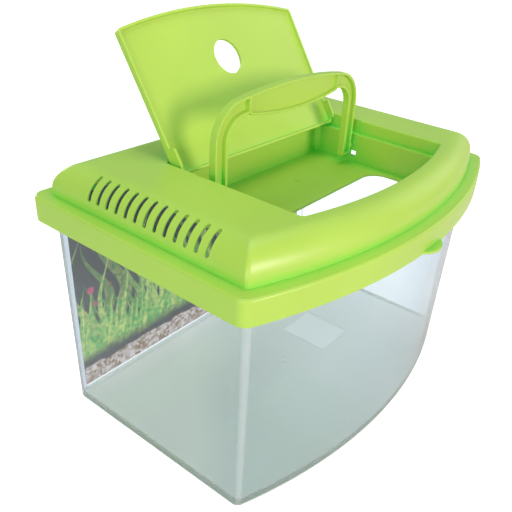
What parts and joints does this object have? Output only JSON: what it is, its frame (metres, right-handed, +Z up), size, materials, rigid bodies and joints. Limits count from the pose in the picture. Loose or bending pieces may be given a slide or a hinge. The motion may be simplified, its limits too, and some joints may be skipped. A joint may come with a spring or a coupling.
{
  "type": "plastic pet keeper",
  "caption": "Clear bow-fronted small-pet tank with a vented snap-over lid, a hinged feeding hatch and a folding carrying handle.",
  "frame": {"origin": "middle of the tank's base, midway from its rear wall to its front corners, on the surface it stands on", "axes": "+X to the right along the width, seen from the bowed front, which faces -Y; +Z up"},
  "size_m": [0.2996, 0.2126, 0.2675],
  "materials": {
    "clear_plastic": "clear, moulded, glossy",
    "printed_film": "printed plastic film with a planted underwater scene",
    "lime_plastic": "moulded lime green, satin"
  },
  "bodies": {
    "tank": {"tank": "clear_plastic", "backdrop_sheet": "printed_film"},
    "lid": {"lid": "lime_plastic"},
    "hatch": {"hatch": "lime_plastic"},
    "handle": {"handle": "lime_plastic"}
  },
  "joints": [
    {"name": "lid_lift", "type": "slide", "parent": "tank", "child": "lid", "axis": [0, 0, 1], "range_m": [0, 0.06]},
    {"name": "hatch_hinge", "type": "hinge", "parent": "lid", "child": "hatch", "pos_m": [0, 0.026, 0.183], "axis": [1, 0, 0], "range_deg": [0, 123.3]},
    {"name": "handle_fold", "type": "hinge", "parent": "lid", "child": "handle", "pos_m": [0, 0.0002, 0.166], "axis": [1, 0, 0], "range_deg": [0, 92.5]}
  ],
  "couplings": [
    {"joint": "handle_fold", "follows": "hatch_hinge", "ratio": 0.75}
  ]
}
